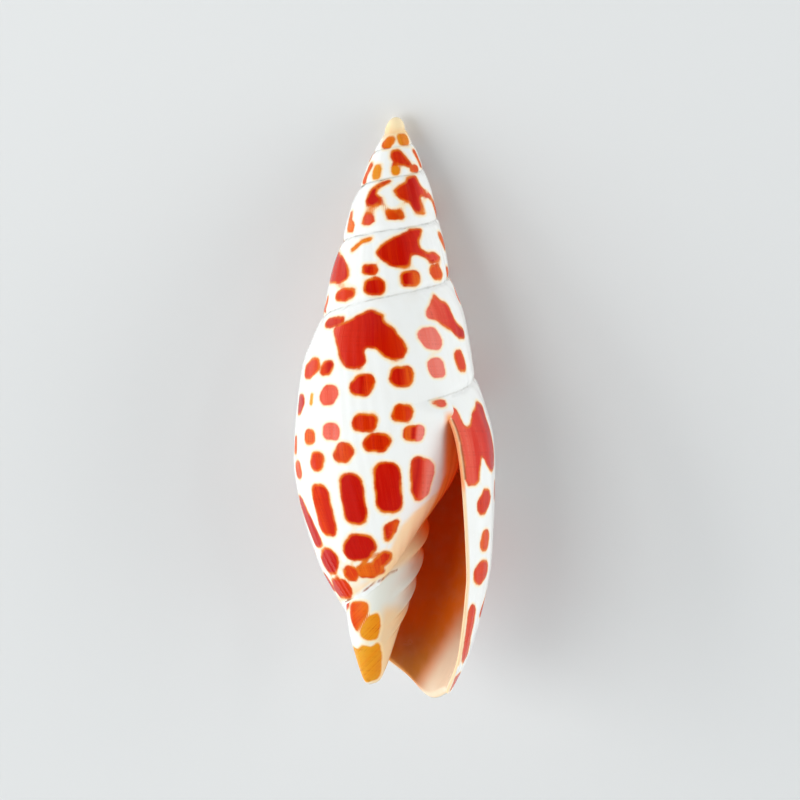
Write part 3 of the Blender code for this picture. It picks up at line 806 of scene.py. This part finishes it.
class Nodes:
    """Short ways to add the nodes of a material."""

    def __init__(self, tree):
        self.tree = tree

    def new(self, kind, inputs=(), **settings):
        node = self.tree.nodes.new(kind)
        for name, value in settings.items():
            setattr(node, name, value)
        for socket, value in dict(inputs).items():
            if isinstance(value, bpy.types.NodeSocket):
                self.tree.links.new(value, node.inputs[socket])
            else:
                node.inputs[socket].default_value = value
        return node

    def value(self, name):
        return self.new("ShaderNodeAttribute", attribute_name=name).outputs["Fac"]

    def maths(self, operation, first, second=0.0, third=0.0):
        node = self.new("ShaderNodeMath", {0: first, 1: second, 2: third}, operation=operation)
        return node.outputs[0]

    def times(self, value, factor):
        return self.maths("MULTIPLY", value, factor)

    def sway(self, value, noise, amount):
        """A value moved up and down by a noise."""
        return self.maths("MULTIPLY_ADD", self.maths("SUBTRACT", noise, 0.5), amount, value)

    def fade(self, value, low, high):
        """1 below low, 0 above high, and smooth between."""
        return self.maths("SUBTRACT", 1.0, self.ease(value, low, high))

    def ease(self, value, low, high):
        """0 below low, 1 above high, and smooth between."""
        node = self.new("ShaderNodeMapRange", {"Value": value, "From Min": low, "From Max": high},
                        interpolation_type="SMOOTHSTEP")
        return node.outputs["Result"]

    def mix(self, share, first, second):
        node = self.new("ShaderNodeMix", {0: share, 6: first, 7: second}, data_type="RGBA")
        return node.outputs[2]

    def noise(self, vector, scale, detail, roughness):
        node = self.new("ShaderNodeTexNoise", {"Vector": vector, "Scale": scale, "Detail": detail,
                                               "Roughness": roughness})
        return node.outputs["Fac"]

    def streaks(self, line, level, across, down, detail, roughness):
        """Noise drawn out along the growth lines."""
        place_here = self.new("ShaderNodeCombineXYZ", {0: self.times(line, across),
                                                       1: self.times(level, down), 2: 0.0})
        return self.noise(place_here.outputs[0], 1.0, detail, roughness)


def colour_of(levels):
    return (*[float(value) for value in levels], 1.0)


def tint(red, green, blue):
    """Shader colour from the usual 0 to 255 levels."""
    return colour_of(linear(red, green, blue))


# Colour of a marking by its tone: the pink top end is partly painted reflection of the lamps.
MARK_TONES = ((0.0, linear(226, 158, 34)), (0.22, linear(232, 104, 8)), (0.42, linear(216, 52, 0)),
              (0.6, linear(190, 11, 0)), (0.72, linear(214, 40, 14)), (0.85, linear(232, 92, 70)),
              (1.0, linear(238, 128, 114)))


def shell_material():
    """Glossy shell: ground colour, crisp markings with orange rims, growth lines, and painted shade at
    the sutures.
    """
    material = bpy.data.materials.new("shell_glaze")
    material.use_nodes = True
    nodes = Nodes(material.node_tree)
    surface = material.node_tree.nodes["Principled BSDF"]
    place_here = nodes.new("ShaderNodeTexCoord").outputs["Object"]
    line = nodes.value("lip_line")
    level = nodes.value("level")

    # growth lines: fine along the lip's edge, broken down the whorl
    growth = nodes.streaks(line, level, 420.0, 0.09, 3.0, 0.6)
    broad = nodes.streaks(line, level, 60.0, 0.05, 3.0, 0.6)
    striae = nodes.streaks(line, level, 9.0, 2.2, 2.0, 0.5)
    mottle = nodes.noise(place_here, 260.0, 3.0, 0.6)
    wander = nodes.noise(place_here, 380.0, 1.0, 0.5)
    wobble = nodes.noise(place_here, 1500.0, 2.0, 0.5)

    ground = nodes.new("ShaderNodeAttribute", attribute_name="ground").outputs["Color"]
    shade = nodes.ease(mottle, 0.35, 0.75)
    ground = nodes.mix(nodes.times(shade, 0.08), ground, tint(225, 214, 190))
    ground = nodes.mix(nodes.times(nodes.ease(growth, 0.55, 0.8), 0.08), ground,
                       tint(196, 186, 170))

    # markings
    depth = nodes.sway(nodes.sway(nodes.value("mark"), wander, 0.55), wobble, 0.22)
    tone = nodes.sway(nodes.sway(nodes.value("tone"), broad, 0.22), growth, 0.14)
    ramp = nodes.new("ShaderNodeValToRGB", {"Fac": tone})
    elements = ramp.color_ramp.elements
    for place_on_ramp, levels in MARK_TONES[1:-1]:
        elements.new(place_on_ramp)
    for element, (place_on_ramp, levels) in zip(elements, MARK_TONES):
        element.position = place_on_ramp
        element.color = colour_of(levels)
    core = ramp.outputs["Color"]
    dark_lines = nodes.maths("ADD", nodes.times(growth, 0.6), nodes.times(striae, 0.4))
    dark_lines = nodes.ease(dark_lines, 0.5, 0.72)
    core = nodes.mix(nodes.times(dark_lines, 0.35), core, tint(150, 12, 1))
    rim = nodes.mix(nodes.ease(wander, 0.35, 0.65), tint(226, 122, 30), tint(208, 70, 8))
    # the pink markings, partly painted reflection, and the amber markings have no rim of their own
    plain = nodes.maths("ADD", nodes.ease(tone, 0.72, 0.92), nodes.fade(tone, 0.08, 0.26))
    rim = nodes.mix(plain, rim, core)
    halo = nodes.ease(depth, -0.75, 0.0)
    colour = nodes.mix(nodes.times(halo, 0.7), ground, tint(254, 220, 158))
    colour = nodes.mix(nodes.ease(depth, -0.26, 0.16), colour, rim)
    colour = nodes.mix(nodes.ease(depth, 0.05, 0.62), colour, core)

    # sutures: a faint grey line of uneven strength, painted shade along the suture grooves
    seam = nodes.maths("MULTIPLY_ADD", wobble, 0.35, nodes.value("seam"))
    thin = nodes.fade(seam, 0.12, 0.5)
    thin = nodes.times(thin, nodes.ease(wander, 0.25, 0.75))
    colour = nodes.mix(nodes.times(thin, 0.5), colour, tint(158, 152, 142))
    # dark line over the fasciole, and painted shadow beside the lip's rim
    fasciole_line_and_lip_shadow = nodes.fade(nodes.value("fasciole_line_and_lip_shadow"), 0.06, 0.42)
    fasciole_line_and_lip_shadow = nodes.times(fasciole_line_and_lip_shadow, nodes.ease(mottle, 0.22, 0.5))
    colour = nodes.mix(nodes.times(fasciole_line_and_lip_shadow, 0.85), colour, tint(158, 82, 34))
    material.node_tree.links.new(colour, surface.inputs["Base Color"])

    rough = nodes.maths("MULTIPLY_ADD", mottle, 0.16, 0.16)
    material.node_tree.links.new(rough, surface.inputs["Roughness"])
    surface.inputs["Specular IOR Level"].default_value = 0.32
    surface.inputs["Coat Weight"].default_value = 0.12
    surface.inputs["Coat Roughness"].default_value = 0.10
    height = nodes.maths("ADD", nodes.times(growth, 0.5),
                         nodes.maths("ADD", broad, nodes.times(striae, 0.35)))
    bump = nodes.new("ShaderNodeBump", {"Height": height, "Strength": 0.35, "Distance": 0.00006})
    material.node_tree.links.new(bump.outputs["Normal"], surface.inputs["Normal"])
    return material


# The scene: floor, lights and a camera square to the coil axis, looking down on the shell.
FRAME_WIDTH = 0.152
CAMERA_REACH = 3.0
CAMERA_LEAN = 1.375        # degrees that the coil axis leans in the picture
CAMERA_AIM = (0.00196, 0.05646, 0.0)
FLOOR_SIZE = 4.0
# Lights: turned round the coil axis from the camera in degrees, raised along it in degrees,
# distance, width, length, power, and whether the glaze mirrors them.
LIGHTS = (
    ("left_box", -78.0, 0.0, 0.9, 0.62, 0.9, 3.3, False),
    ("right_box", 64.0, 0.0, 0.9, 0.70, 0.9, 4.3, False),
    ("aperture_fill", -38.0, -8.0, 0.9, 0.40, 0.5, 2.3, False),
    ("left_strip", -62.0, 0.0, 0.9, 0.12, 0.35, 0.45, True),
    ("right_strip", 31.0, 0.0, 0.9, 0.03, 0.30, 0.32, True),
)
LAMP_COLOUR = (1.0, 0.99, 0.97)
# Soft tent round the shell: its light away from the camera, and the dimmer light near the camera.
TENT = (1.25, 0.06)
TENT_COLOUR = (0.90, 0.97, 1.0, 1.0)


def add_floor():
    half = FLOOR_SIZE / 2
    mesh = bpy.data.meshes.new("floor")
    mesh.from_pydata([(-half, -half, 0), (half, -half, 0), (half, half, 0), (-half, half, 0)], [],
                     [(0, 1, 2, 3)])
    floor = new_object("floor", mesh)
    material = bpy.data.materials.new("floor")
    material.use_nodes = True
    surface = material.node_tree.nodes["Principled BSDF"]
    surface.inputs["Base Color"].default_value = (0.72, 0.72, 0.72, 1.0)
    surface.inputs["Roughness"].default_value = 0.6
    mesh.materials.append(material)


def add_lights(view):
    """view is the camera's frame, moved to the middle of the shell."""
    for name, round_axis, up, distance, width, length, power, mirrored in LIGHTS:
        data = bpy.data.lights.new(name, "AREA")
        data.shape = "RECTANGLE"
        data.size = width
        data.size_y = length
        data.energy = power
        data.color = LAMP_COLOUR
        lamp = new_object(name, data)
        lamp.visible_glossy = mirrored
        turned = (Matrix.Rotation(math.radians(round_axis), 4, "Y")
                  @ Matrix.Rotation(math.radians(-up), 4, "X"))
        lamp.matrix_world = view @ turned @ Matrix.Translation((0.0, 0.0, distance))


def add_tent(view):
    """World light that is dim towards the camera, so the front of the shell keeps its colours."""
    world = bpy.data.worlds.new("studio")
    world.use_nodes = True
    nodes = Nodes(world.node_tree)
    direction = nodes.new("ShaderNodeTexCoord").outputs["Generated"]
    axis = view.to_3x3() @ Vector((0.0, 0.0, 1.0))
    towards = nodes.new("ShaderNodeVectorMath", {0: direction, 1: axis}, operation="DOT_PRODUCT")
    strength = nodes.new("ShaderNodeMapRange", {"Value": towards.outputs["Value"], "From Min": 0.35,
                                                "From Max": 0.95, "To Min": TENT[0], "To Max": TENT[1]},
                         interpolation_type="SMOOTHSTEP")
    background = world.node_tree.nodes["Background"]
    background.inputs["Color"].default_value = TENT_COLOUR
    world.node_tree.links.new(strength.outputs["Result"], background.inputs["Strength"])
    bpy.context.scene.world = world
    world.cycles_visibility.glossy = False


def add_camera(pose):
    view = (pose @ Matrix.Translation(CAMERA_AIM)
            @ Matrix.Rotation(math.radians(CAMERA_LEAN), 4, "Z"))
    data = bpy.data.cameras.new("camera")
    data.sensor_width = 36.0
    data.lens = 36.0 * CAMERA_REACH / FRAME_WIDTH
    data.clip_end = 20.0
    camera = new_object("camera", data)
    camera.matrix_world = view @ Matrix.Translation((0.0, 0.0, CAMERA_REACH))
    bpy.context.scene.camera = camera
    bpy.context.scene.view_settings.view_transform = "Standard"
    return view


shell = Builder()
add_inside(shell, *add_outside(shell))
add_pillar(shell)
body = make_object(shell)
body.data.materials.append(shell_material())
pose = rest_on_floor(body)
body.data.transform(pose)
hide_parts("shell")
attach(body, "root")
add_floor()
view = add_camera(pose)
add_lights(view)
add_tent(view)
